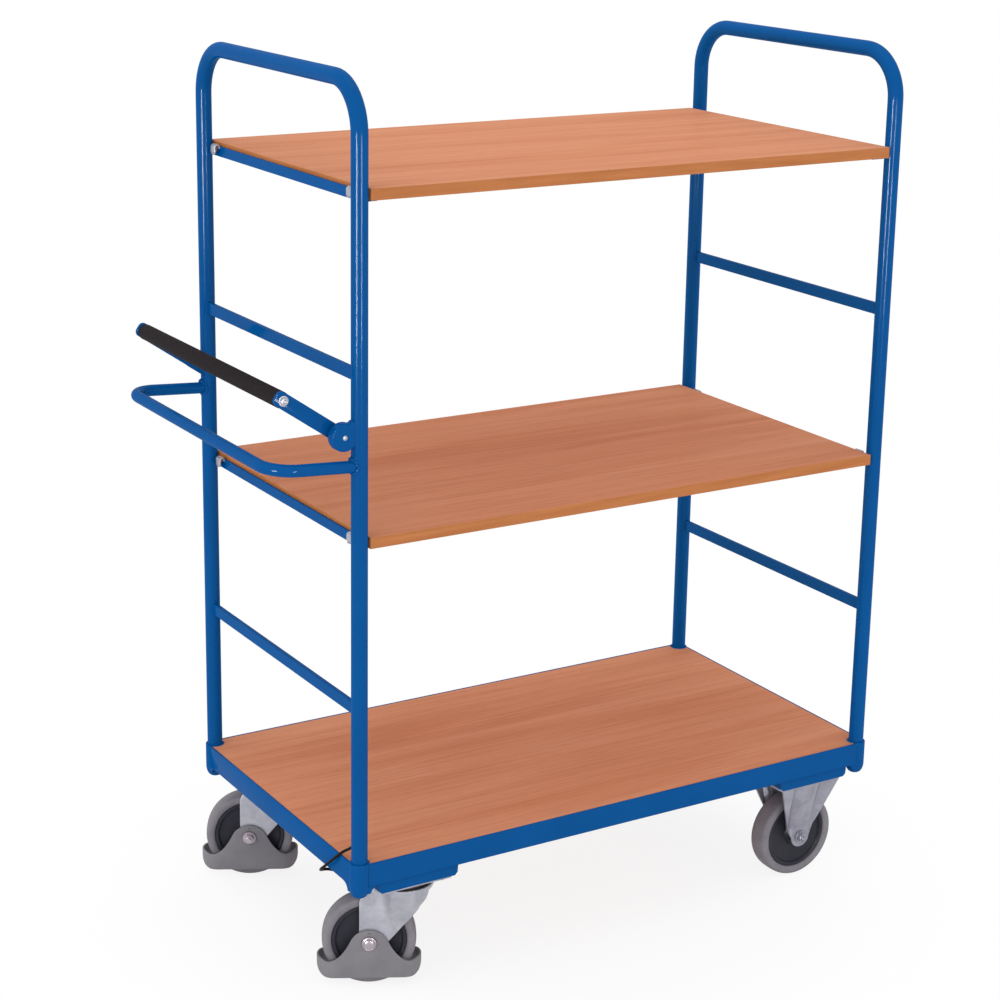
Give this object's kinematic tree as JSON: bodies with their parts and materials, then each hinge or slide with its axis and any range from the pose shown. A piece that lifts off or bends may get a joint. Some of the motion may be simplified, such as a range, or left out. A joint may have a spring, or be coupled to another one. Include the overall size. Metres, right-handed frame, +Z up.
{
  "type": "shelf trolley",
  "caption": "Tube-framed shelf trolley with beech boards, a push bow, a brake lever, fixed castors at one end and swivel castors with rocking pedal rings at the other.",
  "frame": {"origin": "on the floor, under the centre of the box that the whole trolley fills", "axes": "+Z up; +X along the trolley from the push bow end to the fixed castors; +Y from the near long side to the far one"},
  "size_m": [1.2202, 0.6159, 1.5405],
  "materials": {
    "blue_powder_coat": "gloss blue powder coat",
    "beech_laminate": "satin beech laminate, grain along the trolley",
    "zinc_plate": "bright zinc plate on pressed steel",
    "grey_tyre": "grey non-marking rubber",
    "dark_hub": "dark blue-grey moulded plastic",
    "pedal_grey": "fine-grained grey plastic",
    "black_foam": "black foam grip",
    "black_cable": "black cable sheath"
  },
  "bodies": {
    "frame": {"end_frame_left": "blue_powder_coat", "cross_rail_upper_left": "blue_powder_coat", "cross_rail_lower_left": "blue_powder_coat", "shelf_rail_top_left": "blue_powder_coat", "clip_top_left_near": "zinc_plate", "clip_top_left_far": "zinc_plate", "shelf_rail_mid_left": "blue_powder_coat", "clip_mid_left_near": "zinc_plate", "clip_mid_left_far": "zinc_plate", "deck_end_left": "blue_powder_coat", "cross_member_left": "blue_powder_coat", "end_frame_right": "blue_powder_coat", "cross_rail_upper_right": "blue_powder_coat", "cross_rail_lower_right": "blue_powder_coat", "shelf_rail_top_right": "blue_powder_coat", "clip_top_right_near": "zinc_plate", "clip_top_right_far": "zinc_plate", "shelf_rail_mid_right": "blue_powder_coat", "clip_mid_right_near": "zinc_plate", "clip_mid_right_far": "zinc_plate", "deck_end_right": "blue_powder_coat", "cross_member_right": "blue_powder_coat", "shelf_board_top": "beech_laminate", "shelf_board_mid": "beech_laminate", "deck_board": "beech_laminate", "push_bow": "blue_powder_coat", "deck_rail_near": "blue_powder_coat", "pivot_bracket_near": "blue_powder_coat", "pivot_pin_near": "zinc_plate", "swivel_plate_near": "zinc_plate", "fixed_fork_near": "zinc_plate", "axle_bolt_right_near": "zinc_plate", "deck_rail_far": "blue_powder_coat", "pivot_bracket_far": "blue_powder_coat", "pivot_pin_far": "zinc_plate", "swivel_plate_far": "zinc_plate", "fixed_fork_far": "zinc_plate", "axle_bolt_right_far": "zinc_plate", "brake_cable": "black_cable", "cable_ferrule": "zinc_plate"},
    "lever": {"lever_arm_near": "blue_powder_coat", "lever_arm_far": "blue_powder_coat", "lever_bolt_near": "zinc_plate", "lever_bolt_far": "zinc_plate", "grip_tube": "blue_powder_coat", "grip_sleeve": "black_foam"},
    "swivel_near": {"swivel_fork_near": "zinc_plate", "axle_bolt_left_near": "zinc_plate"},
    "pedal_near": {"pedal_ring_near": "pedal_grey"},
    "swivel_far": {"swivel_fork_far": "zinc_plate", "axle_bolt_left_far": "zinc_plate"},
    "pedal_far": {"pedal_ring_far": "pedal_grey"},
    "wheel_left_near": {"hub_left_near": "dark_hub", "tyre_left_near": "grey_tyre"},
    "wheel_left_far": {"hub_left_far": "dark_hub", "tyre_left_far": "grey_tyre"},
    "wheel_right_near": {"hub_right_near": "dark_hub", "tyre_right_near": "grey_tyre"},
    "wheel_right_far": {"hub_right_far": "dark_hub", "tyre_right_far": "grey_tyre"}
  },
  "joints": [
    {"name": "brake_lever_hinge", "type": "hinge", "parent": "frame", "child": "lever", "pos_m": [-0.47913, -0.00924, 0.983], "axis": [0, -1, 0], "range_deg": [0, 40], "stiffness_Nm_per_rad": 1.5, "springref_deg": -45.84},
    {"name": "swivel_turn_near", "type": "hinge", "parent": "frame", "child": "swivel_near", "pos_m": [-0.34413, -0.24324, 0.18], "axis": [0, 0, 1], "continuous": true},
    {"name": "wheel_spin_left_near", "type": "hinge", "parent": "swivel_near", "child": "wheel_left_near", "pos_m": [-0.39251, -0.21773, 0.08], "axis": [0.4664, 0.8846, 0], "continuous": true},
    {"name": "pedal_rock_near", "type": "hinge", "parent": "swivel_near", "child": "pedal_near", "pos_m": [-0.39251, -0.21773, 0.08], "axis": [0.4664, 0.8846, 0], "range_deg": [-8, 8]},
    {"name": "wheel_spin_right_near", "type": "hinge", "parent": "frame", "child": "wheel_right_near", "pos_m": [0.48928, -0.24224, 0.08], "axis": [0, 1, 0], "continuous": true},
    {"name": "swivel_turn_far", "type": "hinge", "parent": "frame", "child": "swivel_far", "pos_m": [-0.34413, 0.22476, 0.18], "axis": [0, 0, 1], "continuous": true},
    {"name": "wheel_spin_left_far", "type": "hinge", "parent": "swivel_far", "child": "wheel_left_far", "pos_m": [-0.39251, 0.25027, 0.08], "axis": [0.4664, 0.8846, 0], "continuous": true},
    {"name": "pedal_rock_far", "type": "hinge", "parent": "swivel_far", "child": "pedal_far", "pos_m": [-0.39251, 0.25027, 0.08], "axis": [0.4664, 0.8846, 0], "range_deg": [-8, 8]},
    {"name": "wheel_spin_right_far", "type": "hinge", "parent": "frame", "child": "wheel_right_far", "pos_m": [0.48928, 0.22376, 0.08], "axis": [0, 1, 0], "continuous": true}
  ]
}
